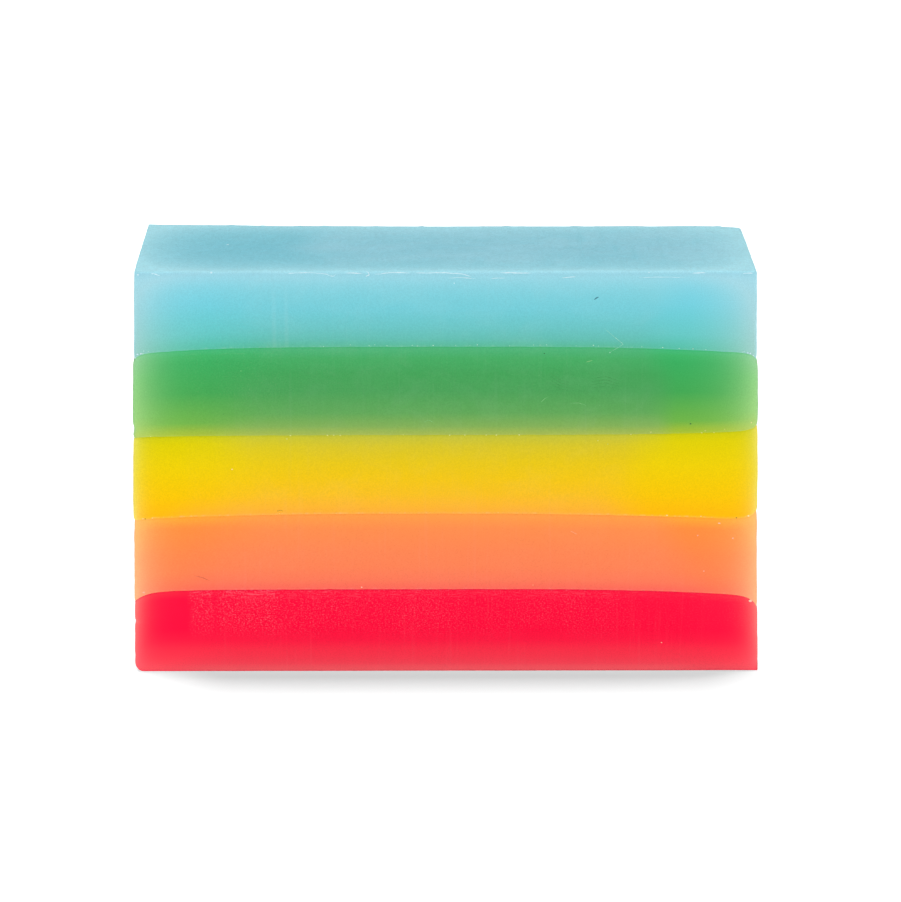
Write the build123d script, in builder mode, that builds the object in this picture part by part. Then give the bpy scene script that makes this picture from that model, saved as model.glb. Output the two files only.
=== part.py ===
from build123d import *

import os
from dataclasses import dataclass
from math import exp

# A layered soap bar: one slice cut straight across a loaf that was poured in five colours.
#
# The loaf set in a tapered mould, one colour at a time, and was turned out upside down. So the
# slice stands on the side that was poured last, and the side that lay on the mould's base is on
# top. X runs across the loaf, Y through the slice's thickness from one cut face to the other, and Z
# is up. The origin is the middle of the face that the slice stands on. Sizes are in millimetres.

# The slice.
MOUTH_WIDTH = 89.0  # across the loaf at the mould's mouth, the lowest face here
BASE_WIDTH = 85.6  # across the loaf at the mould's base, the highest face here
LOAF_HEIGHT = 59.0  # from mouth to base, at the ends of the section
SLICE_THICKNESS = 25.4  # from one cut to the next

# The section's outline.
BASE_DISH = 0.25  # how far the top face dips along the middle
BASE_CORNER_RADIUS = 0.9  # the upper corners, from the mould's inner radius
LEFT_HEEL_RADIUS = 0.8  # the lower left corner, which was trimmed
RIGHT_HEEL_RADIUS = 0.55  # the lower right corner
CUT_EDGE_RADIUS = 0.5  # all round both cut faces, from the cutter and from handling

# A seam runs level through the middle and falls away towards the mould's walls.
SAG_POWER = 4  # how late the slow fall sets in
LIP_REACH = 0.9  # how quickly the lip at the wall dies away
SEAM_STATIONS = (0.25, 0.5, 0.7, 0.82, 0.9, 0.945, 0.97, 0.985, 1.0, 1.01)  # shares of half a width

# The block that picks out one colour reaches this far past the slice all round.
CLEARANCE = 3.0


def half_width(height):
    """Half the loaf's width: the mould narrows from its mouth to its base."""
    narrowing = (MOUTH_WIDTH - BASE_WIDTH) * height / LOAF_HEIGHT
    return (MOUTH_WIDTH - narrowing) / 2


@dataclass(frozen=True)
class Wing:
    """How one half of a seam falls from the middle to the wall. A negative fall rises."""

    sag: float = 0.0  # the slow part, over the whole half width
    lip: float = 0.0  # the quick part, where the liquid had crept along the wall


@dataclass(frozen=True)
class Seam:
    """The joint between one colour and the next, the same all through the slice's thickness."""

    height: float  # at the middle of the section
    left: Wing = Wing()
    right: Wing = Wing()

    def point(self, share):
        """A point on the seam. The share is -1 at the left wall, 0 in the middle and 1 at the right."""
        wing = self.left if share < 0 else self.right
        reach = half_width(self.height)
        from_wall = reach * (1 - abs(share))
        fall = wing.sag * abs(share) ** SAG_POWER + wing.lip * exp(-from_wall / LIP_REACH)
        return (reach * share, self.height - fall)

    def points(self):
        """Points from just past the left wall to just past the right one."""
        left = [-share for share in reversed(SEAM_STATIONS)]
        return [self.point(share) for share in (*left, 0, *SEAM_STATIONS)]


# The seams from the lowest up, named for the two colours that meet there. The first and the last
# are level and lie clear of the slice.
BELOW_ALL = Seam(height=-CLEARANCE)
RED_ORANGE = Seam(height=12.5, left=Wing(sag=0.35, lip=1.3), right=Wing(sag=0.9, lip=1.6))
ORANGE_YELLOW = Seam(height=23.95, left=Wing(sag=0.6, lip=0.5), right=Wing(sag=0.8, lip=-0.5))
YELLOW_GREEN = Seam(height=35.5, left=Wing(sag=0.25, lip=0.15), right=Wing(sag=-0.25, lip=-1.1))
GREEN_BLUE = Seam(height=48.35, left=Wing(sag=0.8, lip=1.3), right=Wing(sag=0.8, lip=1.5))
ABOVE_ALL = Seam(height=LOAF_HEIGHT + CLEARANCE)

# The colours from the lowest up, each with the seams below and above it.
LAYERS = {
    "red_layer": (BELOW_ALL, RED_ORANGE),
    "orange_layer": (RED_ORANGE, ORANGE_YELLOW),
    "yellow_layer": (ORANGE_YELLOW, YELLOW_GREEN),
    "green_layer": (YELLOW_GREEN, GREEN_BLUE),
    "blue_layer": (GREEN_BLUE, ABOVE_ALL),
}


def cut_slice():
    """The whole slice, before its colours are told apart."""
    with BuildPart() as whole:
        with BuildSketch(Plane.XZ) as section:
            with BuildLine():
                heel = half_width(0)
                shoulder = half_width(LOAF_HEIGHT)
                Line((-heel, 0), (heel, 0))
                Line((heel, 0), (shoulder, LOAF_HEIGHT))
                dip = (0, LOAF_HEIGHT - BASE_DISH)
                ThreePointArc((shoulder, LOAF_HEIGHT), dip, (-shoulder, LOAF_HEIGHT))
                Line((-shoulder, LOAF_HEIGHT), (-heel, 0))
            make_face()
            fillet(section.vertices().group_by(Axis.Y)[-1], BASE_CORNER_RADIUS)
            fillet(section.vertices().group_by(Axis.Y)[0].sort_by(Axis.X)[0], LEFT_HEEL_RADIUS)
            fillet(section.vertices().group_by(Axis.Y)[0].sort_by(Axis.X)[-1], RIGHT_HEEL_RADIUS)
        extrude(amount=SLICE_THICKNESS / 2, both=True)
        cut_faces = whole.faces().filter_by(Axis.Y)
        fillet(cut_faces.edges(), CUT_EDGE_RADIUS)
    return whole


def pick_colour(whole, lower_seam, upper_seam):
    """The part of the slice between two seams."""
    side = half_width(0) + CLEARANCE
    with BuildPart() as layer:
        add(whole.part)
        with BuildSketch(Plane.XZ):
            with BuildLine():
                for seam in (lower_seam, upper_seam):
                    curve = Spline(*seam.points())
                    Line((-side, seam.height), curve @ 0)
                    Line(curve @ 1, (side, seam.height))
                for edge in (-side, side):
                    Line((edge, lower_seam.height), (edge, upper_seam.height))
            make_face()
        extrude(amount=SLICE_THICKNESS / 2 + CLEARANCE, both=True, mode=Mode.INTERSECT)
    return layer


os.makedirs("parts", exist_ok=True)
soap_slice = cut_slice()
for name, (lower_seam, upper_seam) in LAYERS.items():
    layer = pick_colour(soap_slice, lower_seam, upper_seam)
    layer.part.label = name
    export_step(layer.part, f"parts/{name}.step")
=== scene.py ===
import itertools
import math
from dataclasses import dataclass

import bmesh
import bpy
import numpy as np
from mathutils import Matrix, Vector


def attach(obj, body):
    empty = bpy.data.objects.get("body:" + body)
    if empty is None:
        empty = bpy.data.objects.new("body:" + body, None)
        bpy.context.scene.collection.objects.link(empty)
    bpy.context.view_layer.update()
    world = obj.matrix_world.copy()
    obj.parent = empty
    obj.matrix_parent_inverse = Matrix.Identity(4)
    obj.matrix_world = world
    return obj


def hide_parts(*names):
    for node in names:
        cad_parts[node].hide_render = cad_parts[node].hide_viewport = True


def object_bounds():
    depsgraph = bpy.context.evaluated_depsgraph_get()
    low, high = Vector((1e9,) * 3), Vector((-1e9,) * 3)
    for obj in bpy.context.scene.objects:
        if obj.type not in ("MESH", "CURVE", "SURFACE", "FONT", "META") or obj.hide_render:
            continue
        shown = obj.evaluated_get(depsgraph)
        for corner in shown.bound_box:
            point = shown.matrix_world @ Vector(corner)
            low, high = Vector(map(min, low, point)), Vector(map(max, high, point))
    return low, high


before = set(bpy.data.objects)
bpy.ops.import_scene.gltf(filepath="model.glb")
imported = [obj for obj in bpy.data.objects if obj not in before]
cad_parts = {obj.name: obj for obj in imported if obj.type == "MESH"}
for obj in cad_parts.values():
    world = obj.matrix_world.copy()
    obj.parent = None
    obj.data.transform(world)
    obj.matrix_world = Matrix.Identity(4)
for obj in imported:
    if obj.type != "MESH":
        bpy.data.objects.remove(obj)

# A slice of layered soap. X runs across the loaf, Y from the front cut face to the back one, and Z
# up. Shapes are worked out in millimetres and made in metres.

MM = 0.001

CAD_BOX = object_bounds()
LOW = Vector(CAD_BOX[0]) / MM
HIGH = Vector(CAD_BOX[1]) / MM
HEIGHT = HIGH.z - LOW.z
THICKNESS = HIGH.y - LOW.y
MOUTH_WIDTH = HIGH.x - LOW.x  # across the standing face
TAPER = 3.4  # how much narrower the top face is than the standing face
FRONT = -THICKNESS / 2
BACK = THICKNESS / 2

# ------------------------------------------------
# Noise
# ------------------------------------------------

NOISE_CELLS = 64


def rumple(seed, sizes, coords):
    """Smooth noise from -1 to 1, in any number of dimensions, with lumps of the given sizes."""
    table = np.random.default_rng(seed).uniform(-1, 1, (NOISE_CELLS,) * len(coords))
    cells = []
    blends = []
    for coord, size in zip(coords, sizes):
        whole = np.floor(coord / size)
        part = coord / size - whole
        cells.append(whole.astype(int))
        blends.append(part * part * (3 - 2 * part))
    total = 0
    for corner in itertools.product((0, 1), repeat=len(coords)):
        weight = 1
        for far, blend in zip(corner, blends):
            weight = weight * (blend if far else 1 - blend)
        total = total + weight * table[tuple((c + far) % NOISE_CELLS for c, far in zip(cells, corner))]
    return total


@dataclass(frozen=True)
class Lumps:
    """One layer of noise: how strong it is, and how large its lumps are along each axis, in mm."""

    height: float
    seed: int
    sizes: tuple


def relief(layers, *coords):
    """Layers of noise added up."""
    return sum(layer.height * rumple(layer.seed, layer.sizes, coords) for layer in layers)


def near(distance, reach):
    """1 at a place and falling to 0 with the distance from it."""
    return np.exp(-np.maximum(distance, 0) / reach)


def hump(value, middle, reach):
    """1 in the middle and falling to 0 on both sides of it."""
    return np.exp(-(((value - middle) / reach) ** 2))


def rise(value, low, high):
    """0 up to low, 1 from high on, and smooth between."""
    part = np.clip((value - low) / (high - low), 0, 1)
    return part * part * (3 - 2 * part)


# ------------------------------------------------
# Seams
# ------------------------------------------------

SEAM_DRIFT = 0.35  # mm that a seam wanders up and down, from nothing at the front to this at the back
SEAM_DRIFT_SIZES = (31, 19)
SEAM_JAG = 0.035  # mm that the cutter tore it up and down
SEAM_JAG_SIZES = (1.1, 5.0)


@dataclass(frozen=True)
class Wing:
    """How one half of a seam falls from the middle to the wall. A negative fall rises."""

    sag: float  # the slow fall over the whole half
    lip: float  # the quick fall at the wall
    reach: float  # how far from the wall the quick fall reaches
    power: float = 4  # the higher, the longer the seam stays level before it sags

    def fall(self, share, inward):
        """The fall at a share of the way to the wall, which is that far inward from it in mm."""
        return self.sag * share**self.power + self.lip * np.exp(-inward / self.reach)


@dataclass(frozen=True)
class Seam:
    """Where two colours meet. Lean is how much higher the seam is at the back than at the front."""

    height: float
    left: Wing
    right: Wing
    lean: float
    seed: int

    def at(self, x, y):
        """The seam's height over the points (x, y)."""
        reach = half_width(self.height)
        share = np.abs(x) / reach
        inward = reach - np.abs(x)
        fall = np.where(x < 0, self.left.fall(share, inward), self.right.fall(share, inward))
        behind = (y - FRONT) / THICKNESS
        drift = self.lean * behind + SEAM_DRIFT * behind * rumple(self.seed, SEAM_DRIFT_SIZES, (x, y))
        jag = SEAM_JAG * rumple(self.seed + 1, SEAM_JAG_SIZES, (x, y))
        return self.height - fall + drift + jag


def half_width(z):
    """Half the loaf's width at a height."""
    return (MOUTH_WIDTH - TAPER * z / HEIGHT) / 2


def standing_face(x, y):
    """The side that the slice stands on, which is flat."""
    return 0 * x


TOP_LIFT = 0.17  # mm that the top's front edge stands over its nominal height
TOP_TILT = 0.13  # mm that the back edge is higher still
TOP_LEAN = 0.12  # mm more at the back left, and less at the back right
TOP_HOLLOW = 0.2  # mm that the middle of the back edge is lower
TOP_DROOP = 0.35  # mm that the far right corner droops
TOP_DROOP_REACH = 3.5  # mm


def top_face(x, y):
    """The side that lay on the mould's base."""
    across = x / half_width(HEIGHT)
    behind = (y - FRONT) / THICKNESS
    tilt = behind * (TOP_TILT - TOP_LEAN * across - TOP_HOLLOW * (1 - across**2))
    droop = TOP_DROOP * behind**2 * np.exp(-(half_width(HEIGHT) - x) / TOP_DROOP_REACH)
    return HEIGHT + TOP_LIFT + tilt - droop


RED_ORANGE = Seam(
    height=12.5, left=Wing(0.3, 1.4, 1.7), right=Wing(1.1, 1.5, 0.9, power=3), lean=0.3, seed=11,
)
ORANGE_YELLOW = Seam(
    height=23.88, left=Wing(0.75, 0.2, 2.2, power=2.5), right=Wing(1.0, -1.3, 1.0, power=2),
    lean=-0.2, seed=13,
)
YELLOW_GREEN = Seam(
    height=35.5, left=Wing(0.25, 0.15, 0.9), right=Wing(-0.6, -0.8, 0.8), lean=-0.35, seed=15,
)
GREEN_BLUE = Seam(
    height=48.35, left=Wing(1.0, 0.75, 0.7), right=Wing(1.05, 0.75, 0.6, power=3), lean=0.25, seed=17,
)

# ------------------------------------------------
# The slice's skin
# ------------------------------------------------


def graded(length, fine, coarse, growth=1.22):
    """Stations from 0 to 1 along a length in mm: close together at both ends, coarse between."""
    steps = [0.0]
    step = fine
    while sum(steps) < length / 2:
        steps.append(step)
        step = min(step * growth, coarse)
    half = np.cumsum(steps)
    half *= length / 2 / half[-1]
    return np.concatenate([half, length - half[-2::-1]]) / length


def round_edge(a, b, radius):
    """Distances from an edge's two faces, moved so that the edge becomes a round of that radius."""
    p = np.maximum(1 - a / radius, 0)
    q = np.maximum(1 - b / radius, 0)
    squeeze = np.maximum(p, q) / np.maximum(np.hypot(p, q), 1e-9)
    return (
        np.where(p > 0, radius * (1 - p * squeeze), a),
        np.where(q > 0, radius * (1 - q * squeeze), b),
    )


def skin_faces(ids):
    """The quads round a block of lattice points, facing outward."""
    quads = []
    for axis in range(3):
        for end in (0, -1):
            sheet = np.take(ids, end, axis=axis)
            corners = (sheet[:-1, :-1], sheet[1:, :-1], sheet[1:, 1:], sheet[:-1, 1:])
            quad = np.stack(corners, axis=-1).reshape(-1, 4)
            outward = (end == -1) != (axis == 1)
            quads.append(quad if outward else quad[:, ::-1])
    return np.concatenate(quads)


def make_mesh(name, points, faces):
    """A smooth mesh object, from points in mm."""
    mesh = bpy.data.meshes.new(name)
    mesh.from_pydata((np.asarray(points) * MM).tolist(), [], faces)
    mesh.validate()
    mesh.shade_smooth()
    piece = bpy.data.objects.new(name, mesh)
    bpy.context.collection.objects.link(piece)
    return piece


# The finest and the coarsest steps between the mesh's points, in mm.
ACROSS_STEPS = (0.1, 0.34)
THROUGH_STEPS = (0.1, 0.4)
UPWARD_STEPS = (0.08, 0.34)


def block_skin():
    """A block's skin: points from -1 to 1 across and through it and from 0 to 1 up it, and its faces."""
    across = graded(MOUTH_WIDTH, *ACROSS_STEPS) * 2 - 1
    through = graded(THICKNESS, *THROUGH_STEPS) * 2 - 1
    upward = graded(HEIGHT / len(SOAPS), *UPWARD_STEPS)
    counts = (len(across), len(through), len(upward))
    i, j, k = np.indices(counts)
    skin = (i % (counts[0] - 1) == 0) | (j % (counts[1] - 1) == 0) | (k % (counts[2] - 1) == 0)
    ids = np.full(counts, -1)
    ids[skin] = np.arange(skin.sum())
    return across[i[skin]], through[j[skin]], upward[k[skin]], skin_faces(ids)


FAR = 1e3  # mm, for a seam that isn't there
TAPER_ROUNDS = 4  # repeats, since a point's height and its place across depend on each other


def between_seams(soap, across, through, share):
    """The block with sharp edges: x, y, z and the distances above its lower and below its upper seam."""
    y = through * THICKNESS / 2
    x = across * MOUTH_WIDTH / 2
    for _ in range(TAPER_ROUNDS):
        floor = soap.floor(x, y)
        roof = soap.roof(x, y)
        z = floor + share * (roof - floor)
        x = across * half_width(z)
    above_seam = share * (roof - floor) + FAR * (soap.floor is standing_face)
    below_seam = (1 - share) * (roof - floor) + FAR * (soap.roof is top_face)
    return x, y, z, above_seam, below_seam


# The rounds between the slice's faces, and how much wear changes them, in mm.
WEAR_SEED = 21
WEAR_SIZES = (5.0, 3.0, 7.0)
CUT_END_ROUND, CUT_END_WEAR = 0.4, 0.1
CUT_TOP_ROUND, CUT_TOP_WEAR = 0.36, 0.12
LEFT_TOP_ROUND, RIGHT_TOP_ROUND, END_TOP_WEAR = 0.15, 0.4, 0.1
CUT_HEEL_ROUND, CUT_HEEL_WEAR = 0.14, 0.04
LEFT_HEEL_ROUND, RIGHT_HEEL_ROUND = 1.3, 0.08


def rounded(x, y, z):
    """Distances from the nearer end, the nearer cut face, the top and the heel, with edges rounded."""
    left = x < 0
    from_end = half_width(z) - np.abs(x)
    from_cut = THICKNESS / 2 - np.abs(y)
    from_top = top_face(x, y) - z
    from_heel = z
    wear = rumple(WEAR_SEED, WEAR_SIZES, (x, y, z))
    end_top_round = np.where(left, LEFT_TOP_ROUND, RIGHT_TOP_ROUND) + END_TOP_WEAR * wear
    end_heel_round = np.where(left, LEFT_HEEL_ROUND, RIGHT_HEEL_ROUND)
    from_end, from_cut = round_edge(from_end, from_cut, CUT_END_ROUND + CUT_END_WEAR * wear)
    from_cut, from_top = round_edge(from_cut, from_top, CUT_TOP_ROUND + CUT_TOP_WEAR * wear)
    from_end, from_top = round_edge(from_end, from_top, end_top_round)
    from_cut, from_heel = round_edge(from_cut, from_heel, CUT_HEEL_ROUND + CUT_HEEL_WEAR * wear)
    from_end, from_heel = round_edge(from_end, from_heel, end_heel_round)
    return from_end, from_cut, from_top, from_heel


# What casting, cutting and handling left on each face, in mm.
PUSH_REACH = 0.8  # how far inward a face's bumps still move the points beside it
PROUD_LOSS, PROUD_REACH = 0.5, 0.5  # the share by which an end stands out less beside a seam
NOTCH, NOTCH_REACH = Lumps(0.04, 30, (3, 2)), 0.25
END_LUMPS = (Lumps(0.04, 31, (2.2, 2.6, 2.0)), Lumps(0.025, 32, (0.9, 1.1, 0.8)))
CUT_WAVES = (Lumps(0.06, 33, (17, 30, 13)), Lumps(0.02, 34, (5, 30, 6)))
CUT_DRAG = (Lumps(0.006, 35, (0.55, 30, 45)), Lumps(0.012, 36, (1.7, 30, 60)))
CUT_SEAM_DIP, CUT_SEAM_REACH = 0.02, 0.12
TOP_WAVES = (Lumps(0.05, 37, (6, 5)), Lumps(0.018, 38, (1.3, 1.2)))
TOP_BURRS, TOP_BURR_REACH = Lumps(0.22, 39, (1.1,)), 0.6  # stand up along the back edge
TOP_BURR_START = 0.4  # how strong the noise is where a burr starts
NICKS = ((7.6, 0.3, 0.28), (36.4, 0.25, 0.6))  # each one's height, depth and reach, at the front left
WORN_TOP, WORN_TOP_REACH = 0.09, 1.6  # how far the front left is worn down toward the top
WORN_HEEL, WORN_HEEL_REACH = 0.12, 2.5  # the same toward the heel
LOST_REACH = 1.4  # how far behind the front the nicks and the wear reach
HEEL_FLAT_REACH = 0.4  # how far above the standing face the cut faces' bumps fade in


def end_push(soap, x, y, z, from_seam, from_top):
    """How far the ends stand out: lumpy, notched at the seams, and nicked and worn at the front left."""
    proud = np.where(x < 0, *soap.proud) * (1 - PROUD_LOSS * near(from_seam, PROUD_REACH))
    notch = (NOTCH.height + relief([NOTCH], y, z)) * near(from_seam, NOTCH_REACH)
    nick = sum(depth * hump(z, height, reach) for height, depth, reach in NICKS)
    worn = WORN_TOP * near(from_top, WORN_TOP_REACH) + WORN_HEEL * near(z, WORN_HEEL_REACH)
    lost = (nick + worn) * near(y - FRONT, LOST_REACH) * (x < 0)
    return proud - notch + relief(END_LUMPS, x, y, z) - lost


def cut_push(x, y, z, from_seam):
    """How far the cut faces stand out: wavy, dragged by the knife, and sunk at the seams."""
    waves = relief(CUT_WAVES, x, y, z) + relief(CUT_DRAG, x, y, z)
    return waves - CUT_SEAM_DIP * near(from_seam, CUT_SEAM_REACH)


def top_push(x, y):
    """How far the top stands out: gently uneven, with burrs along the back edge."""
    burrs = np.maximum(relief([TOP_BURRS], x) - TOP_BURR_START * TOP_BURRS.height, 0)
    return relief(TOP_WAVES, x, y) + burrs * near(BACK - y, TOP_BURR_REACH)


def layer_piece(soap):
    """One colour of the slice as a closed mesh, with what its material needs to know at each point."""
    across, through, share, faces = block_skin()
    x, y, z, above_seam, below_seam = between_seams(soap, across, through, share)
    from_seam = np.minimum(above_seam, below_seam)
    from_end, from_cut, from_top, from_heel = rounded(x, y, z)
    out_end = end_push(soap, x, y, z, from_seam, from_top) * near(from_end, PUSH_REACH)
    out_cut = cut_push(x, y, z, from_seam) * near(from_cut, PUSH_REACH) * (1 - near(z, HEEL_FLAT_REACH))
    out_top = top_push(x, y) * near(from_top, PUSH_REACH)
    side = np.sign(x)
    z = np.where(from_top < from_heel, top_face(x, y) - from_top + out_top, from_heel)
    x = side * (half_width(z) - from_end + out_end)
    y = np.sign(y) * (THICKNESS / 2 - from_cut + out_cut)

    piece = make_mesh(soap.name + "_soap", np.stack([x, y, z], axis=1), faces.tolist())
    piece.data.set_sharp_from_angle(angle=math.radians(50))
    from_flat = np.minimum(from_top, from_heel)
    values = {
        "share": share,
        "above_seam": above_seam,
        "below_seam": below_seam,
        "painted_edge_glow": painted_edge_glow(soap, x, from_end, from_cut, from_flat),
        "milky": milky(soap, x, y, z, from_end, share),
        "moulded": rise(from_cut - np.minimum(from_end, from_flat), -0.5, 0.7),
        "film": film(x, y),
        "frost": frost(x, y, z) * soap.frost,
    }
    for name, value in values.items():
        attribute = piece.data.attributes.new(name, "FLOAT", "POINT")
        attribute.data.foreach_set("value", value.astype(np.float32))
    return piece


def painted_edge_glow(soap, x, from_end, from_cut, from_flat):
    """How much light is painted in near the edges, as if it came through the soap, not counting the face
    that the point is on.
    """
    flat_glow = near(from_flat, soap.flat_reach)
    end_glow = np.where(x < 0, soap.left_glow, 1) * near(from_end, soap.end_reach)
    glows = [end_glow, near(from_cut, soap.cut_reach), flat_glow]
    glow = np.clip(sum(glows) - np.maximum.reduce(glows), 0, 1)
    return glow * (1 - (1 - soap.flat_glow) * flat_glow)


MILK_WANDER = (Lumps(2.4, 41, (9, 12, 7)), Lumps(0.9, 42, (3, 5, 2.4)))


def milky(soap, x, y, z, from_end, share):
    """How milky the soap is: clear near the moulded ends and milky in the middle."""
    slope = np.where(x < 0, *soap.clear_slope) * (1 - share) ** 2
    inward = from_end + relief(MILK_WANDER, x, y, z) + slope
    return np.where(x < 0, rise(inward, *soap.clear_left), rise(inward, *soap.clear_right))


# The film on the top, by where it changes: in mm across the loaf, and behind the front edge.
FILM_PATCHES = (Lumps(0.22, 44, (8, 3.5)), Lumps(0.14, 45, (2.6, 1.4)))
FILM_THICKENS = (-24, -16)
FILM_THICKENS_AGAIN = (24, 34)
FILM_STREAKS_START = (8, 22)
FILM_BEHIND_FRONT = (2.5, 7.5)


def film(x, y):
    """How thick the milky film on the top is: thin at its left and front, with brushed patches."""
    left = rise(x + 1.5 * rumple(43, (5,), (y,)), *FILM_THICKENS)
    # The film thickens again toward the right end, which is painted light that makes the top paler
    # there.
    right = 0.12 * rise(x, *FILM_THICKENS_AGAIN)
    streaks = 0.3 * rise(rumple(46, (0.8, 5), (x, y)), 0.2, 0.9) * rise(x, *FILM_STREAKS_START)
    behind_front = rise(y - FRONT + 1.4 * rumple(47, (1.6, 30), (x, y)), *FILM_BEHIND_FRONT)
    thick = 0.08 + 0.76 * left + right + relief(FILM_PATCHES, x, y) * (0.35 + 0.65 * left) - streaks
    return np.clip(thick * (0.25 + 0.75 * behind_front), 0, 1)


FROST_START = (-36.6, -36.1)  # mm across the loaf, where the frost's sharp border is
FROST_BOTTOM = (4.4, 7.6)  # mm above the floor, where it fades in
FROST_GAP, FROST_GAP_REACH = -32.8, 0.35  # where a narrow strip has less of it
FROST_COLUMNS = (Lumps(0.28, 52, (2.3, 40, 60)), Lumps(0.22, 53, (6, 30, 9)))
FROST_STEPS = ((-23.4, -22.4), (-12, 8), (18, 36))  # stretches over which it gets weaker


def frost(x, y, z):
    """How thickly fine dried specks lie on the cut faces. They start at a sharp upright line."""
    across = -x * np.sign(y)
    start = rise(across + 0.25 * rumple(51, (1.1,), (z,)), *FROST_START)
    gap = 1 - 0.75 * hump(across, FROST_GAP, FROST_GAP_REACH)
    columns = 0.72 + relief(FROST_COLUMNS, x, y, z)
    lower = rise(z + 1.3 * rumple(54, (7, 30), (x, y)), *FROST_BOTTOM)
    strength = 1.1 - 0.3 * sum(rise(across, *step) for step in FROST_STEPS)
    return np.clip(start * gap * columns * lower * strength, 0, 1)


# ------------------------------------------------
# Materials
# ------------------------------------------------


def linear(colour):
    """A colour as six hexadecimal digits, as linear red, green, blue and alpha."""
    channels = [int(colour[n:n + 2], 16) / 255 for n in (0, 2, 4)]
    return [c / 12.92 if c <= 0.04045 else ((c + 0.055) / 1.055) ** 2.4 for c in channels] + [1.0]


class Graph:
    """A material's nodes, each made by a call that returns the node's output."""

    def __init__(self, name):
        self.material = bpy.data.materials.new(name)
        self.material.use_nodes = True
        self.nodes = self.material.node_tree.nodes
        self.links = self.material.node_tree.links
        self.shader = self.nodes["Principled BSDF"]

    def plug(self, value, socket):
        if isinstance(value, bpy.types.NodeSocket):
            self.links.new(value, socket)
        else:
            socket.default_value = value

    def surface(self, name, value):
        """Sets one of the surface's inputs."""
        self.plug(value, self.shader.inputs[name])

    def compute(self, kind, operation, values, output):
        node = self.nodes.new(kind)
        node.operation = operation
        for value, socket in zip(values, node.inputs):
            self.plug(value, socket)
        return node.outputs[output]

    def maths(self, operation, *values):
        return self.compute("ShaderNodeMath", operation, values, "Value")

    def vectors(self, operation, *values, output="Vector"):
        return self.compute("ShaderNodeVectorMath", operation, values, output)

    def attribute(self, name):
        node = self.nodes.new("ShaderNodeAttribute")
        node.attribute_name = name
        return node.outputs["Fac"]

    def millimetres(self):
        """The point's place in millimetres."""
        place = self.nodes.new("ShaderNodeTexCoord").outputs["Object"]
        return self.vectors("MULTIPLY", place, (1 / MM,) * 3)

    def distance(self):
        """How far the point is from the origin, in millimetres."""
        return self.vectors("LENGTH", self.millimetres(), output="Value")

    def separate(self, place, axis):
        node = self.nodes.new("ShaderNodeSeparateXYZ")
        self.plug(place, node.inputs[0])
        return node.outputs[axis]

    def noise(self, place, sizes, detail=2.0, roughness=0.5, distortion=0.0):
        """Noise from 0 to 1 with lumps of the given size in mm along X, Y and Z."""
        node = self.nodes.new("ShaderNodeTexNoise")
        node.inputs["Scale"].default_value = 1.0
        node.inputs["Detail"].default_value = detail
        node.inputs["Roughness"].default_value = roughness
        node.inputs["Distortion"].default_value = distortion
        self.plug(self.vectors("DIVIDE", place, sizes), node.inputs["Vector"])
        return node.outputs["Fac"]

    def spread(self, value, low, high, to_low=0.0, to_high=1.0):
        """The value, taken from one range to another and held inside it."""
        node = self.nodes.new("ShaderNodeMapRange")
        node.interpolation_type = "SMOOTHSTEP"
        names = ("Value", "From Min", "From Max", "To Min", "To Max")
        for name, given in zip(names, (value, low, high, to_low, to_high)):
            self.plug(given, node.inputs[name])
        return node.outputs["Result"]

    def ramp(self, value, stops):
        node = self.nodes.new("ShaderNodeValToRGB")
        elements = node.color_ramp.elements
        while len(elements) < len(stops):
            elements.new(1.0)
        for element, (place, colour) in zip(elements, stops):
            element.position = place
            element.color = linear(colour)
        self.plug(value, node.inputs["Fac"])
        return node.outputs["Color"]

    def mix(self, factor, a, b, blend="MIX"):
        node = self.nodes.new("ShaderNodeMix")
        node.data_type = "RGBA"
        node.blend_type = blend
        for value, socket in ((factor, node.inputs[0]), (a, node.inputs[6]), (b, node.inputs[7])):
            self.plug(value, socket)
        return node.outputs[2]

    def bump(self, height, distance, normal=None):
        node = self.nodes.new("ShaderNodeBump")
        node.inputs["Distance"].default_value = distance * MM
        self.plug(height, node.inputs["Height"])
        if normal:
            self.plug(normal, node.inputs["Normal"])
        return node.outputs["Normal"]


@dataclass(frozen=True)
class Soap:
    """One colour: where it lies, and how its soap looks from its floor to its roof."""

    name: str
    slot: str
    floor: object  # the height of its lower side over (x, y)
    roof: object  # the height of its upper side over (x, y)
    body: tuple  # its colour in the middle of a face, from its floor, 0, to its roof, 1
    clear: tuple  # the same a few millimetres in from the ends, where it is less milky
    rim_glow: tuple  # the same at the slice's edges, where light is painted in as if it came through
    end_reach: float  # how far from the moulded ends the painted edge light reaches
    flat_reach: float  # the same from the top face and the standing face
    cut_reach: float  # the same from the cut faces
    skin: tuple  # its colour on the moulded faces, under a thin film, a thick one and at the edges, where light is painted in; the films' grey is partly painted sheen
    seam_shade: tuple  # what multiplies its colour in the line of painted shade under a seam
    clear_left: tuple  # how far from the left end the clear soap ends and the milky soap starts
    clear_right: tuple  # the same from the right end
    clear_slope: tuple = (0, 0)  # how much less each of those is at its floor
    proud: tuple = (0, 0)  # how far its left and right ends stand out
    flat_glow: float = 1.0  # how strong the painted edge light is along the top and the heel
    left_glow: float = 1.0  # how strong it is at the left end
    milk: float = 0.03  # how strong its milky blotches are
    frost: float = 0.1  # how much dried speckle lies on it
    pale_line: float = 1.0  # how strong the broken line above the seam under it is
    knife_lines: tuple = ()  # where across the loaf the cutter scored it


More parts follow.
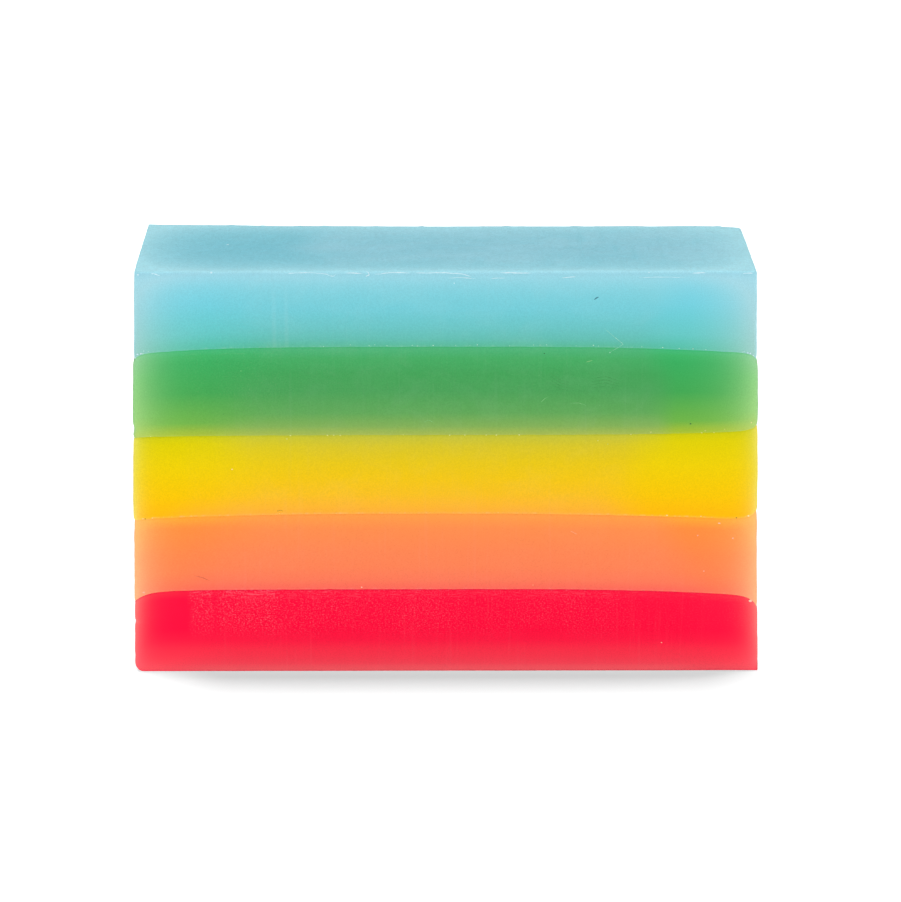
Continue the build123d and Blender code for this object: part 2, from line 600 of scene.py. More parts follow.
SOAPS = (
    Soap(
        "red_layer", "red_soap", standing_face, RED_ORANGE.at,
        # The paler stops just above the red's floor, here and in clear, are painted light that makes up
        # for the dimmer light low on the front face.
        body=(
            (0.0, "E41A3A"), (0.02, "FF5860"), (0.1, "FF364C"), (0.28, "FF2B46"),
            (0.38, "FF1840"), (0.52, "FF063B"), (0.9, "FF083B"), (1.0, "FF183E"),
        ),
        clear=(
            (0.0, "E41A3A"), (0.02, "FF4454"), (0.1, "FF344A"), (0.28, "FF2A46"),
            (0.38, "FF1A41"), (0.52, "FF0A3D"), (0.9, "FF0E3D"), (1.0, "FF2A42"),
        ),
        rim_glow=((0.0, "FF6A74"), (0.3, "FF6A70"), (1.0, "FF7E78")),
        end_reach=1.0, flat_reach=0.9, cut_reach=1.1, flat_glow=0.1,
        skin=("F01C46", "EE4A62", "FF7A78"), seam_shade=(0.82, 0.5, 0.8, 1),
        clear_left=(5, 12), clear_right=(5, 12),
        proud=(0.0, 0.2), frost=1.0, milk=0.0, pale_line=0.0,
    ),
    Soap(
        "orange_layer", "orange_soap", RED_ORANGE.at, ORANGE_YELLOW.at,
        body=(
            (0.0, "FB6657"), (0.12, "FB7757"), (0.3, "FB8054"),
            (0.5, "FB8352"), (0.8, "FA8A4C"), (1.0, "FA9A44"),
        ),
        clear=((0.0, "FB6C50"), (0.25, "FB7D4B"), (0.5, "FB8146"), (0.85, "FB893C"), (1.0, "FBA430")),
        rim_glow=((0.0, "FFB888"), (0.5, "FFB37C"), (1.0, "FFC070")),
        end_reach=2.1, flat_reach=2.0, cut_reach=2.2,
        skin=("F88C54", "F3A27C", "FFB880"), seam_shade=(0.97, 0.9, 0.75, 1),
        clear_left=(7, 20), clear_right=(8, 17), clear_slope=(3.0, 3.0),
        proud=(0.08, 0.12), frost=0.1, milk=0.005, pale_line=0.2,
    ),
    Soap(
        "yellow_layer", "yellow_soap", ORANGE_YELLOW.at, YELLOW_GREEN.at,
        body=(
            (0.0, "F8A836"), (0.1, "F6B12E"), (0.25, "F0BA1F"), (0.45, "EABF12"),
            (0.65, "E0C014"), (0.85, "D1BE25"), (1.0, "BABA38"),
        ),
        clear=((0.0, "FAB20A"), (0.25, "F0BF02"), (0.6, "E6C702"), (0.9, "D6C702"), (1.0, "C5C20E")),
        rim_glow=((0.0, "EEDA70"), (0.5, "E6D850"), (1.0, "DEDA60")),
        end_reach=0.7, flat_reach=2.0, cut_reach=0.8,
        skin=("F0C828", "E8CE62", "EEDA5C"), seam_shade=(0.86, 0.92, 0.7, 1),
        clear_left=(9, 26), clear_right=(11, 20), clear_slope=(9.0, -4.0),
        proud=(0.22, 0.2), frost=0.08, milk=0.01, pale_line=0.45,
    ),
    Soap(
        "green_layer", "green_soap", YELLOW_GREEN.at, GREEN_BLUE.at,
        body=(
            (0.0, "A1B24D"), (0.1, "7DA854"), (0.25, "5DA055"), (0.5, "489A55"),
            (0.7, "419B55"), (0.87, "43A35F"), (1.0, "4CAD77"),
        ),
        clear=(
            (0.0, "A4B82C"), (0.15, "68AB42"), (0.5, "3C9F4E"),
            (0.85, "33A459"), (0.93, "38AB61"), (1.0, "40B276"),
        ),
        rim_glow=((0.0, "B6CE70"), (0.25, "A0D182"), (0.7, "93CE86"), (1.0, "9ACC9C")),
        end_reach=2.7, flat_reach=2.0, cut_reach=3.4, left_glow=0.9,
        skin=("5CAE62", "84BC86", "98CE92"), seam_shade=(0.72, 0.94, 0.85, 1),
        clear_left=(5, 24), clear_right=(10, 16),
        proud=(0.26, 0.26), frost=0.12, milk=0.015, pale_line=0.12,
    ),
    Soap(
        "blue_layer", "blue_soap", GREEN_BLUE.at, top_face,
        body=((0.0, "53B08E"), (0.1, "5CB4A8"), (0.25, "62BABA"), (0.5, "66C1CC"), (1.0, "69C5D4")),
        clear=((0.0, "44B398"), (0.2, "55BDBA"), (0.6, "55C4D4"), (1.0, "4CC4D8")),
        rim_glow=((0.0, "9EC7BF"), (0.5, "9FCBD1"), (0.9, "9CCEDA"), (1.0, "92C8D7")),
        end_reach=4.2, flat_reach=2.5, cut_reach=3.6, left_glow=0.85,
        skin=("79C4D4", "95CEDD", "ACE3EE"), seam_shade=(1, 1, 1, 1),
        clear_left=(6, 20), clear_right=(8, 17),
        proud=(0.1, 0.12), frost=0.1, milk=0.02, pale_line=0.25, knife_lines=(-23.7, -22.0),
    ),
)

MILK = (0.87, 0.9, 0.88, 1)
FROST = (1.0, 0.5, 0.58, 1)
PIT_SHADE = (0.8, 0.35, 0.6, 1)  # what multiplies the colour in the frost's pits, which is painted shade
SHEEN = 0.03


def soap_colour(graph, soap):
    """Clear near the ends, milky in the middle, filmed where the mould was with painted sheen in the
    film, and palest near the edges, where light is painted in.
    """
    share = graph.attribute("share")
    moulded = graph.attribute("moulded")
    thin_film_and_sheen, thick_film_and_sheen, skin_glow = soap.skin
    clear = graph.ramp(share, soap.clear)
    colour = graph.mix(graph.attribute("milky"), clear, graph.ramp(share, soap.body))
    skin = graph.mix(graph.attribute("film"), linear(thin_film_and_sheen), linear(thick_film_and_sheen))
    colour = graph.mix(moulded, colour, skin)
    rim_glow = graph.mix(moulded, graph.ramp(share, soap.rim_glow), linear(skin_glow))
    return graph.mix(graph.attribute("painted_edge_glow"), colour, rim_glow)


def milk_marks(graph, soap, place, blotch, cut):
    """Milky blotches, and the cutter's faint upright streaks on the cut faces."""
    milky_soap = graph.attribute("milky")
    milk = graph.maths("MULTIPLY", graph.spread(blotch, 0.42, 0.72), soap.milk)
    milk = graph.maths("MULTIPLY", milk, graph.maths("MAXIMUM", milky_soap, graph.attribute("moulded")))
    streak = graph.noise(place, (0.5, 40, 16), detail=3, roughness=0.7)
    streak = graph.maths("MULTIPLY", graph.spread(streak, 0.52, 0.8, 0, 0.014), cut)
    streak = graph.maths("MULTIPLY", streak, milky_soap)
    return graph.maths("ADD", milk, streak)


def frost_marks(graph, place, cut):
    """Fine dried specks with painted shade in the pits between them, and ripples across the soap just
    below the seam.
    """
    speck = graph.noise(place, (0.24, 0.24, 0.2), detail=2, roughness=0.7)
    ripple = graph.noise(place, (1.5, 4, 0.22), detail=2, roughness=0.6, distortion=0.4)
    under_seam = graph.spread(graph.attribute("below_seam"), 2.2, 0.3)
    ripple = graph.maths("MULTIPLY", graph.spread(ripple, 0.5, 0.72), under_seam)
    lie = graph.maths("MULTIPLY", graph.attribute("frost"), cut)
    raised = graph.maths("MAXIMUM", graph.spread(speck, 0.48, 0.74), ripple)
    raised = graph.maths("MULTIPLY", raised, lie)
    shaded_pits = graph.maths("MULTIPLY", graph.spread(speck, 0.46, 0.26), lie)
    return raised, shaded_pits


def seam_lines(graph, soap, place, colour):
    """The colour with a pale broken line just above each seam and a line of painted shade just below it.
    """
    dashes = graph.noise(place, (0.8, 0.8, 3.0), detail=3, roughness=0.6)
    above = graph.spread(graph.attribute("above_seam"), 0.36, 0.06)
    below = graph.spread(graph.attribute("below_seam"), 0.3, 0.08)
    pale = graph.maths("MULTIPLY", above, graph.spread(dashes, 0.46, 0.7, 0.05, 0.26))
    seam_shade = graph.maths("MULTIPLY", below, graph.spread(dashes, 0.3, 0.6, 0.4, 0.9))
    colour = graph.mix(graph.maths("MULTIPLY", pale, soap.pale_line), colour, MILK)
    return graph.mix(seam_shade, colour, soap.seam_shade, "MULTIPLY")


def knife_line(graph, place, line, cut):
    """How strong a faint upright line that the cutter left is at each point."""
    aside = graph.maths("SUBTRACT", graph.separate(place, "X"), line)
    aside = graph.maths("ABSOLUTE", aside)
    fade = graph.spread(graph.attribute("above_seam"), 9, 7, 0, 0.03)
    mark = graph.maths("MULTIPLY", graph.spread(aside, 0.45, 0.05), fade)
    return graph.maths("MULTIPLY", mark, cut)


def soap_material(soap):
    """One colour's soap, with everything that lies on it."""
    graph = Graph(soap.slot)
    place = graph.millimetres()
    moulded = graph.attribute("moulded")
    cut = graph.maths("SUBTRACT", 1.0, moulded)
    blotch = graph.noise(place, (5, 5, 3.5), detail=4, roughness=0.6, distortion=0.6)
    raised, shaded_pits = frost_marks(graph, place, cut)
    grain = graph.noise(place, (0.17, 0.17, 0.17), detail=2, roughness=0.6)
    leather = graph.noise(place, (0.7, 1.1, 0.7), detail=4, roughness=0.75, distortion=1.2)
    peel = graph.noise(place, (0.9, 0.9, 0.9), detail=3, roughness=0.55)

    colour = soap_colour(graph, soap)
    colour = graph.mix(milk_marks(graph, soap, place, blotch, cut), colour, MILK)
    colour = graph.mix(graph.maths("MULTIPLY", raised, 0.22), colour, FROST)
    # Painted shade in the frost's pits.
    colour = graph.mix(graph.maths("MULTIPLY", shaded_pits, 0.4), colour, PIT_SHADE, "MULTIPLY")
    # A pale line above each seam, and painted shade below it.
    colour = seam_lines(graph, soap, place, colour)
    for line in soap.knife_lines:
        colour = graph.mix(knife_line(graph, place, line, cut), colour, MILK)
    colour = graph.mix(1.0, colour, graph.spread(grain, 0.25, 0.75, 0.93, 1.05), "MULTIPLY")
    colour = graph.mix(moulded, colour, graph.spread(leather, 0.3, 0.7, 0.94, 1.06), "MULTIPLY")
    graph.surface("Base Color", colour)

    rough = graph.spread(blotch, 0.3, 0.7, 0.38, 0.48)
    rough = graph.maths("ADD", rough, graph.maths("MULTIPLY", raised, 0.3))
    graph.surface("Roughness", rough)
    normal = graph.bump(grain, 0.01)
    normal = graph.bump(peel, 0.025, normal)
    normal = graph.bump(graph.maths("MULTIPLY", leather, moulded), 0.12, normal)
    normal = graph.bump(raised, 0.03, normal)
    graph.surface("Normal", normal)
    graph.surface("Specular IOR Level", SHEEN)
    return graph.material


# ------------------------------------------------
# The pieces
# ------------------------------------------------

for soap in SOAPS:
    piece = layer_piece(soap)
    piece.data.materials.append(soap_material(soap))
    piece.visible_diffuse = False
    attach(piece, "root")
    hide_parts(soap.name)

# ------------------------------------------------
# Crumbs, burrs and hairs
# ------------------------------------------------

bpy.context.view_layer.update()
SURFACES = bpy.context.evaluated_depsgraph_get()
INTO_FRONT = Vector((0, 1, -0.35)).normalized()
INTO_BACK = Vector((0, -1, -0.35)).normalized()
INTO_TOP = Vector((0, 0, -1))
RUN_UP = 20  # mm before a point, where a line that looks for the soap starts


def land(point, heading):
    """Where a straight line through a point first meets the soap, and the way the soap faces there."""
    start = (Vector(point) - heading * RUN_UP) * MM
    hit, place, normal, *_ = bpy.context.scene.ray_cast(SURFACES, start, heading)
    return (place / MM, normal) if hit else (Vector(point), -heading)


def ball():
    """A rough sphere's points and triangles."""
    shape = bmesh.new()
    bmesh.ops.create_icosphere(shape, subdivisions=2, radius=1)
    points = np.array([v.co for v in shape.verts])
    faces = [[v.index for v in f.verts] for f in shape.faces]
    shape.free()
    return points, faces


BALL_POINTS, BALL_FACES = ball()
CRUMB_LUMPS = Lumps(0.35, 61, (0.8, 0.8, 0.8))
CRUMB_FLATNESS = 0.45  # how much of its height over the soap a crumb loses
THREAD_SIDES = 6
THREAD_STEP = 0.12  # mm
THREAD_WANDER = Lumps(1.0, 62, (0.7,))
THREAD_SWELL = Lumps(0.45, 63, (0.5,))
SHIFT = 50  # mm, the furthest that the noise is shifted, so that no two pieces look alike


class Debris:
    """Small closed lumps and threads on the soap, gathered into one mesh."""

    def __init__(self, seed):
        self.random = np.random.default_rng(seed)
        self.points = []
        self.faces = []

    def add(self, points, faces):
        first = len(self.points)
        self.points.extend(points)
        self.faces.extend([first + n for n in face] for face in faces)

    def crumb(self, point, size, heading=INTO_FRONT, length=1.0):
        """A lump sunk by half into the soap. Its size is across it, and length stretches it along X."""
        place, normal = land(point, heading)
        shifts = self.random.uniform(0, SHIFT, 3)
        lumps = 1 + relief([CRUMB_LUMPS], *(BALL_POINTS + shifts).T)
        stretch = self.random.uniform(0.7, 1.3, 3) * (length, 1, 1)
        flat = BALL_POINTS * lumps[:, None] * stretch * size / 2
        along = flat @ np.array(normal)
        flat -= CRUMB_FLATNESS * along[:, None] * np.array(normal)
        self.add(flat + np.array(place), BALL_FACES)

    def thread(self, route, width, heading=INTO_FRONT, wander=0.03):
        """A thin strand that lies on the soap along a route, and tapers to both ends."""
        legs = [math.dist(a, b) for a, b in zip(route, route[1:])]
        steps = max(4, round(sum(legs) / THREAD_STEP))
        stations = np.linspace(0, 1, steps + 1)
        knots = np.concatenate([[0], np.cumsum(legs)]) / sum(legs)
        path = np.stack([np.interp(stations, knots, axis) for axis in zip(*route)], axis=1)
        travelled = stations * sum(legs) + self.random.uniform(0, SHIFT)
        path[:, 2] += wander * relief([THREAD_WANDER], travelled)
        spots = [land(p, heading) for p in path]
        centres = np.array([place for place, _ in spots])
        normals = np.array([normal for _, normal in spots])
        run = np.gradient(centres, axis=0)
        run /= np.linalg.norm(run, axis=1)[:, None]
        across = np.cross(run, normals)
        across /= np.linalg.norm(across, axis=1)[:, None]
        lift = np.cross(across, run)
        taper = np.sqrt(np.clip(4 * stations * (1 - stations), 0.03, 1))
        swell = 1 + relief([THREAD_SWELL], travelled)
        radius = (width / 2 * taper * swell)[:, None]
        angles = np.arange(THREAD_SIDES) * math.tau / THREAD_SIDES
        rings = [centres + radius * (across * math.cos(t) + lift * math.sin(t)) for t in angles]
        points = np.stack(rings, axis=1).reshape(-1, 3)
        faces = []
        for n in range(steps):
            for side in range(THREAD_SIDES):
                after = (side + 1) % THREAD_SIDES
                corners = ((n, side), (n, after), (n + 1, after), (n + 1, side))
                faces.append([row * THREAD_SIDES + column for row, column in corners])
        faces.append(list(range(THREAD_SIDES))[::-1])
        faces.append([steps * THREAD_SIDES + n for n in range(THREAD_SIDES)])
        self.add(points, faces)

    def finish(self, name, pale, deep):
        """Makes the mesh, in a colour that wanders between two."""
        piece = make_mesh(name, self.points, self.faces)
        shape = bmesh.new()
        shape.from_mesh(piece.data)
        bmesh.ops.recalc_face_normals(shape, faces=shape.faces)
        shape.to_mesh(piece.data)
        shape.free()
        graph = Graph(name)
        place = graph.millimetres()
        patches = graph.noise(place, (0.3, 0.3, 0.3), detail=3)
        graph.surface("Base Color", graph.ramp(patches, ((0.35, pale), (0.7, deep))))
        graph.surface("Roughness", graph.spread(patches, 0.3, 0.7, 0.4, 0.7))
        graph.surface("Normal", graph.bump(patches, 0.03))
        graph.surface("Specular IOR Level", 0.2)
        piece.data.materials.append(graph.material)
        piece.visible_diffuse = False
        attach(piece, "root")


BACK_CRUMB_SIZES = (0.09, 0.17)  # mm
BACK_CRUMB_LIFT = 0.15  # mm above the seam
END_CRUMB_SIZES = (0.1, 0.18)  # mm
END_INSET = 0.4  # mm, how far in from the ends a line across the loaf stops
CUT_INSET = 0.6  # mm, the same from the cut faces


def front(x, z):
    """A point on the front cut face."""
    return x, FRONT, z


def above_seam_at_front(seam, x, above):
    """A point on the front cut face that is so far above a seam."""
    return front(x, float(seam.at(x, FRONT)) + above)


def seam_crumbs(name, seam, seed, count, spots, pale, deep):
    """Pale crumbs that the cutter pulled out of a seam: some on the front, others at random behind."""
    debris = Debris(seed)
    for x, above, size in spots:
        debris.crumb(above_seam_at_front(seam, x, above), size, length=1.5)
    ends = half_width(seam.height) - END_INSET
    for _ in range(count):
        x = debris.random.uniform(-ends, ends)
        size = debris.random.uniform(*BACK_CRUMB_SIZES)
        height = float(seam.at(x, BACK)) + BACK_CRUMB_LIFT
        debris.crumb((x, BACK, height), size, INTO_BACK, length=1.6)
    for side in (-1, 1):
        for _ in range(count // 4):
            y = debris.random.uniform(FRONT + CUT_INSET, BACK - CUT_INSET)
            height = float(seam.at(side * ends, y))
            size = debris.random.uniform(*END_CRUMB_SIZES)
            debris.crumb((side * ends, y, height), size, Vector((-side, 0, 0)))
    debris.finish(name, pale, deep)


# Each spot is where it is across the loaf, how far it lies above the seam, and its size.
seam_crumbs(
    "blue_seam_crumbs", GREEN_BLUE, seed=71, count=26, pale="C2E4D6", deep="80C6A4",
    spots=(
        (-41.9, 0.1, 0.17), (-41.2, 0.25, 0.12), (-16.9, 0.1, 0.1),
        (-13.2, 0.3, 0.1), (-10.6, 0.25, 0.08), (-9.8, 0.3, 0.08), (-8.1, 0.2, 0.11), (-4.6, 0.25, 0.1),
        (-3.9, 0.15, 0.08), (-1.7, 0.2, 0.11), (-0.6, 0.25, 0.08), (1.4, 0.25, 0.1), (3.4, 0.2, 0.08),
        (4.4, 0.3, 0.1), (8.9, 0.15, 0.12), (12.2, 0.3, 0.09), (13.1, 0.25, 0.11), (14.0, 0.3, 0.08),
        (18.1, 0.2, 0.1), (20.5, 0.3, 0.11), (21.2, 0.2, 0.08), (27.2, 0.25, 0.1), (30.1, 0.2, 0.12),
        (32.4, 0.15, 0.1), (34.3, 0.2, 0.13), (36.1, 0.15, 0.1), (41.2, 0.15, 0.15),
    ),
)
seam_crumbs(
    "green_seam_crumbs", YELLOW_GREEN, seed=72, count=26, pale="DEE294", deep="B8C456",
    spots=(
        (-41.2, 0.05, 0.12), (-22.2, -0.5, 0.14), (-21.7, 0.0, 0.15), (-16.5, 0.0, 0.15),
        (-15.6, 0.0, 0.14), (-14.7, 0.0, 0.16), (-5.9, 0.05, 0.1), (0.6, 0.0, 0.15),
        (2.7, 0.0, 0.13), (5.7, 0.0, 0.13), (7.1, 0.0, 0.15), (10.3, 0.0, 0.14),
        (21.3, -0.9, 0.14), (22.7, -1.4, 0.12), (25.9, 0.0, 0.15),
        (28.7, 0.3, 0.19), (35.8, 0.0, 0.16), (36.3, 0.3, 0.19), (37.5, 0.0, 0.14), (39.0, 0.4, 0.17),
        (42.7, 0.9, 0.24),
    ),
)
seam_crumbs(
    "yellow_seam_crumbs", ORANGE_YELLOW, seed=73, count=20, pale="FFE9AE", deep="F2BE58",
    spots=(
        (-42.6, 0.1, 0.16), (-41.3, 0.1, 0.12), (-29.9, 6.9, 0.2), (-23.4, 0.2, 0.1), (7.4, 0.15, 0.09),
        (31.2, 0.2, 0.12), (36.0, 0.2, 0.13), (42.7, 0.1, 0.26),
    ),
)
seam_crumbs(
    "orange_seam_crumbs", RED_ORANGE, seed=74, count=16, pale="FFD9C2", deep="F79A80",
    spots=(
        (-42.8, 0.5, 0.22), (-11.9, 0.35, 0.12), (35.6, 8.6, 0.17), (36.6, 3.3, 0.16),
        (38.6, 10.6, 0.19), (40.6, 8.5, 0.15), (43.3, -0.2, 0.28), (30.8, -7.8, 0.18),
    ),
)

flecks = Debris(75)
for x, z, size in ((-28.4, 44.9, 0.17), (-41.7, 41.9, 0.2), (13.0, 44.2, 0.09), (21.5, 39.8, 0.09)):
    flecks.crumb(front(x, z), size * 0.7)
flecks.thread((front(19.5, 46.1), front(20.4, 46.35)), 0.09)
flecks.thread((front(13.3, 40.3), front(13.8, 40.8), front(14.3, 41.1)), 0.06)
flecks.thread((front(17.4, 40.1), front(18.6, 40.2), front(19.6, 39.8)), 0.05)
flecks.thread((front(-3.1, 37.3), front(-2.4, 37.7), front(-1.7, 37.4)), 0.04)
flecks.finish("green_flecks", pale="8CCB84", deep="66B66C")

# Fine dark ripples in the green, where the cutter chattered.
ripples = Debris(82)
for step in range(4):
    ripples.thread((
        front(14.4, 44.6 - 0.5 * step), front(16.0, 43.5 - 0.45 * step), front(17.4, 43.2 - 0.4 * step),
    ), 0.05)
    ripples.thread((
        front(20.2, 43.7 - 0.45 * step), front(22.3, 44.0 - 0.45 * step), front(24.3, 43.3 - 0.4 * step),
    ), 0.05)
ripples.finish("green_ripples", pale="44974F", deep="388B48")

hair = Debris(76)
hair.thread(
    (
        front(22.0, 51.0), front(23.2, 49.9), front(23.9, 49.3), front(24.6, 48.7), front(23.9, 48.2),
        front(22.9, 47.6),
    ), 0.045,
)
hair.crumb(front(22.8, 47.5), 0.17)
hair.crumb(front(24.6, 48.7), 0.1)
hair.finish("seam_hair", pale="B5DFCB", deep="7CC4A4")

specks = Debris(77)
specks.thread((front(20.5, 55.1), front(20.75, 55.3), front(21.15, 55.5)), 0.18, wander=0.01)
specks.finish("blue_specks", pale="3E7F90", deep="2F6A7C")

specks = Debris(78)
for x, z, size in ((34.2, 37.1, 0.2), (13.7, 47.4, 0.16), (-31.0, 38.6, 0.12)):
    specks.crumb(front(x, z), size)
specks.finish("green_specks", pale="2F6B3A", deep="235430")

specks = Debris(79)
specks.crumb(front(-42.3, 23.15), 0.22)
specks.crumb(front(41.0, 23.2), 0.18)
specks.crumb(front(-23.6, 24.3), 0.15)
specks.thread((front(-23.6, 24.3), front(-23.2, 24.4), front(-22.9, 24.3)), 0.05)
specks.finish("yellow_specks", pale="9A7A1C", deep="7A5E18")

scratches = Debris(80)
scratches.thread((front(17.6, 21.25), front(18.6, 20.75)), 0.08)
scratches.crumb(front(12.4, 13.1), 0.14)
scratches.finish("orange_scratches", pale="FFBE98", deep="F59468")

# The groove's darker colour is painted shade in it.
groove = Debris(83)
groove.thread((front(-35.6, 14.6), front(-34.6, 14.35), front(-33.4, 13.8)), 0.14)
groove.finish("orange_groove", pale="EC7450", deep="DE6444")

# Burrs that the cutter left along the top's front edge: each one's width, and its route as places
# across the loaf and depths below the edge.
EDGE_BURRS_AND_HIGHLIGHTS = (
    (0.1, ((-21.6, 0.2), (-20.6, 0.12), (-19.4, 0.06), (-17.8, 0.14))),
    (0.08, ((-17.8, 0.16), (-16.4, 0.28), (-15.9, 0.55), (-15.4, 0.62), (-15.1, 0.35))),
    (0.09, ((-13.8, 0.16), (-12.6, 0.12), (-11.5, 0.24))),
    (0.1, ((-10.9, -0.1), (-10.6, 0.1), (-10.5, 0.4), (-11.0, 0.6))),
    (0.11, ((-9.7, 0.32), (-9.0, 0.28), (-8.2, 0.12), (-6.5, 0.08), (-4.9, 0.12))),
    (0.1, ((-4.2, 0.14), (-2.2, 0.12), (-0.2, 0.1), (1.2, 0.22), (2.2, 0.24), (3.6, 0.68))),
    (0.08, ((0.4, 0.85), (2.2, 0.8), (4.2, 0.95))),
    (0.08, ((6.2, 0.98), (7.4, 0.86), (8.2, 0.88))),
    (0.11, ((7.5, 0.14), (8.8, 0.1), (10.2, 0.14), (11.8, 0.18))),
    (0.11, ((16.0, 0.88), (16.6, 0.82), (17.9, 0.72))),
    (0.05, ((26.6, 0.82), (29.4, 0.78), (33.0, 0.8))),
    (0.09, ((34.0, 0.2), (35.8, 0.14))),
    (0.09, ((-40.4, 0.1), (-39.9, 0.3), (-39.3, 0.5))),
    (0.09, ((40.9, 0.28), (42.3, 0.22))),
)
# Crumbs along that edge: places across the loaf, depths below it and sizes.
EDGE_CRUMBS = (
    (-42.3, 0.35, 0.26), (-40.3, 0.2, 0.2), (-32.2, 0.05, 0.3), (28.0, 0.1, 0.15), (1.2, 1.6, 0.16),
)
# Crumbs where the blue soap's seam meets the walls: places across, heights above it and sizes.
WALL_CRUMBS = (
    (-43.0, 0.1, 0.2), (-42.7, 0.35, 0.26), (-42.2, 0.2, 0.22), (-41.8, 0.45, 0.14),
    (41.4, 0.25, 0.14), (41.9, 0.15, 0.24), (42.3, 0.2, 0.26), (42.7, 0.1, 0.2),
)
FRONT_EDGE = HEIGHT + 0.1  # about where the top's front edge is
BACK_BURR_COUNT = 14
BACK_BURR_STARTS = (-40, 38)  # mm across the loaf
BACK_BURR_LENGTHS = (0.8, 3.5)  # mm
BACK_BURR_WIDTHS = (0.08, 0.13)  # mm

burrs = Debris(81)
for width, route in EDGE_BURRS_AND_HIGHLIGHTS:
    burrs.thread([front(x, FRONT_EDGE - depth) for x, depth in route], width)
for x, depth, size in EDGE_CRUMBS:
    burrs.crumb(front(x, FRONT_EDGE - depth), size)
for x, above, size in WALL_CRUMBS:
    burrs.crumb(above_seam_at_front(GREEN_BLUE, x, above), size)
for _ in range(BACK_BURR_COUNT):
    x = burrs.random.uniform(*BACK_BURR_STARTS)
    length = burrs.random.uniform(*BACK_BURR_LENGTHS)
    width = burrs.random.uniform(*BACK_BURR_WIDTHS)
    burrs.thread([(x, BACK, HEIGHT), (x + length, BACK, HEIGHT)], width, INTO_BACK)
burrs.crumb((-30.8, 1.7, HEIGHT), 0.28, INTO_TOP)
# The pale colour of the burrs and crumbs on the top's front edge is partly their own and partly a
# painted highlight along that edge.
burrs.finish("cut_edge_burrs_and_highlight", pale="DCEAF0", deep="B4DBE5")

# ------------------------------------------------
# Studio
# ------------------------------------------------


def aim(thing, target):
    """Turns a lamp or the camera toward a target."""
    thing.rotation_euler = (target - thing.location).to_track_quat("-Z", "Y").to_euler()


CENTRE = (LOW + HIGH) / 2 * MM


def soft_light(name, place, width, depth, power):
    """A rectangular lamp that points at the slice's centre."""
    lamp = bpy.data.lights.new(name, "AREA")
    lamp.shape = "RECTANGLE"
    lamp.size = width
    lamp.size_y = depth
    lamp.energy = power
    light = bpy.data.objects.new(name, lamp)
    light.location = CENTRE + Vector(place)
    bpy.context.collection.objects.link(light)
    aim(light, CENTRE)


WHITE = (1, 1, 1, 1)
FLOOR_REACH = 6000  # mm
PAINTED_SHADOW_GLOW = 0.19  # how strongly the floor glows in front of the slice's front edge, where it is dimmed to paint a shadow
# Where it glows brighter: from how many mm, full from how many, and how strongly.
BEHIND = (FRONT - 3, FRONT + 8, 0.55)
BESIDE = (32.5, 47.5, 0.46)
AROUND = (80, 500, 0.6)
FAR_AWAY = (700, 2000, 1.0)
SHADOW_MIDDLE = 2.5  # mm across the loaf, the middle of the painted shadow


def floor_glow(graph):
    """How strongly the floor glows: dimmed in front of the slice to paint a shadow there, and brighter
    behind, beside and far around it.
    """
    place = graph.millimetres()
    aside = graph.maths("SUBTRACT", graph.separate(place, "X"), SHADOW_MIDDLE)
    aside = graph.maths("ABSOLUTE", aside)
    distance = graph.distance()
    glow = PAINTED_SHADOW_GLOW
    for value, (start, full, bright) in (
        (graph.separate(place, "Y"), BEHIND), (aside, BESIDE), (distance, AROUND), (distance, FAR_AWAY),
    ):
        glow = graph.maths("MAXIMUM", glow, graph.spread(value, start, full, PAINTED_SHADOW_GLOW, bright))
    return glow


corners = [(a * FLOOR_REACH, b * FLOOR_REACH, 0) for a, b in ((-1, -1), (1, -1), (1, 1), (-1, 1))]
floor = make_mesh("floor", corners, [(0, 1, 2, 3)])
table = Graph("white_light_table")
table.surface("Base Color", (0.9, 0.9, 0.9, 1))
table.surface("Roughness", 0.9)
table.surface("Specular IOR Level", 0.1)
table.surface("Emission Color", WHITE)
table.surface("Emission Strength", floor_glow(table))
floor.data.materials.append(table.material)

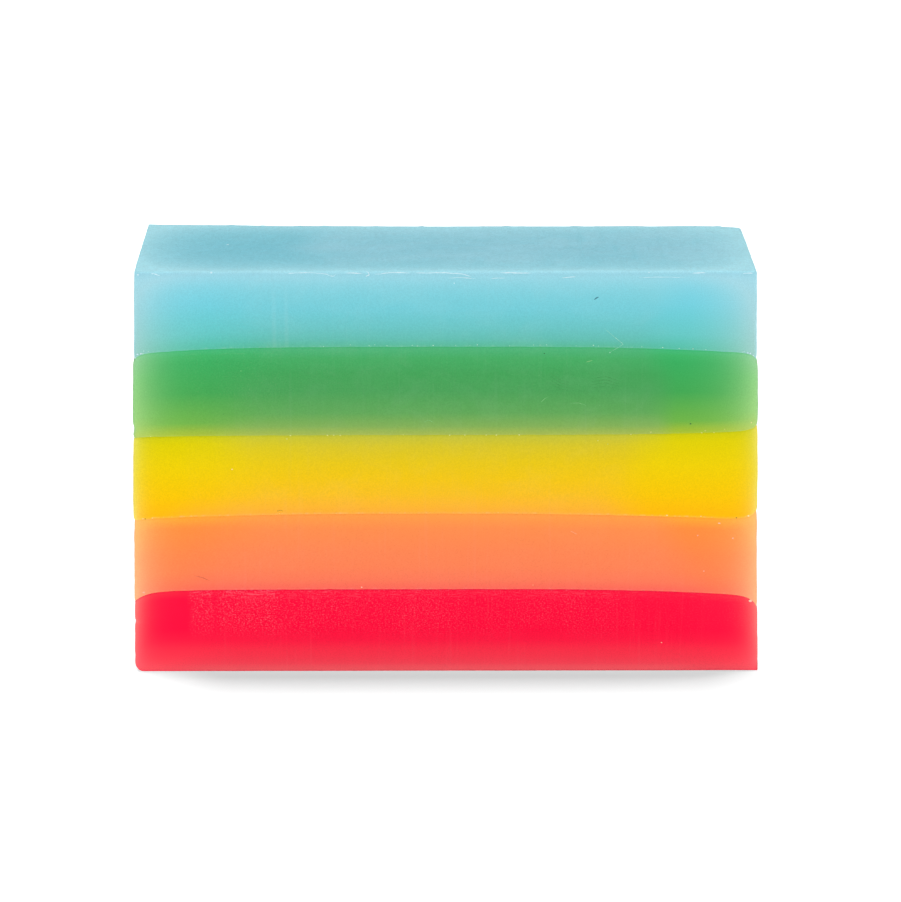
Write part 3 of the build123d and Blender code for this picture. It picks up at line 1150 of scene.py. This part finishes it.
# A round white wall far behind, which only the camera sees, so that a level view ends in white too.
WALL_RADIUS = 4000  # mm
WALL_HEIGHT = 2500  # mm
WALL_SIDES = 48
ring = [n * math.tau / WALL_SIDES for n in range(WALL_SIDES)]
foot = [(WALL_RADIUS * math.cos(t), WALL_RADIUS * math.sin(t), 0) for t in ring]
brim = [(x, y, WALL_HEIGHT) for x, y, _ in foot]
panels = []
for n in range(WALL_SIDES):
    after = (n + 1) % WALL_SIDES
    panels.append((n, after, after + WALL_SIDES, n + WALL_SIDES))
wall = make_mesh("wall", foot + brim, panels)
paper = Graph("white_backdrop")
paper.surface("Base Color", (0, 0, 0, 1))
paper.surface("Emission Color", WHITE)
paper.surface("Emission Strength", 1.0)
wall.data.materials.append(paper.material)
wall.visible_diffuse = False
wall.visible_glossy = False
wall.visible_shadow = False

ROOM_GLOW = 0.22
world = bpy.data.worlds.new("studio")
world.use_nodes = True
room_light = world.node_tree.nodes["Background"]
room_light.inputs["Color"].default_value = WHITE
room_light.inputs["Strength"].default_value = ROOM_GLOW
bpy.context.scene.world = world

# Lamps: places from the slice's centre and sizes in metres, and powers in watts.
soft_light("front_box", place=(0.05, -1.36, 0.85), width=1.0, depth=0.9, power=13.4)
soft_light("overhead", place=(0, 0.14, 1.6), width=1.5, depth=0.2, power=15.0)

# The camera, by where it looks on the front cut face, and from where, in metres.
AIM_POINT = Vector((0.69, FRONT, 0.562 * HEIGHT)) * MM
VIEW_DISTANCE = 0.46906
VIEW_ELEVATION = math.radians(18.288)
VIEW_AZIMUTH = math.radians(-0.262)
FOCAL_LENGTH = 133.74  # mm, on a sensor 36 mm wide
back = Vector((
    math.sin(VIEW_AZIMUTH) * math.cos(VIEW_ELEVATION),
    -math.cos(VIEW_AZIMUTH) * math.cos(VIEW_ELEVATION),
    math.sin(VIEW_ELEVATION),
))
lens = bpy.data.cameras.new("camera")
lens.lens = FOCAL_LENGTH
camera = bpy.data.objects.new("camera", lens)
camera.location = AIM_POINT + back * VIEW_DISTANCE
bpy.context.collection.objects.link(camera)
aim(camera, AIM_POINT)
bpy.context.scene.camera = camera

bpy.context.scene.view_settings.view_transform = "Standard"
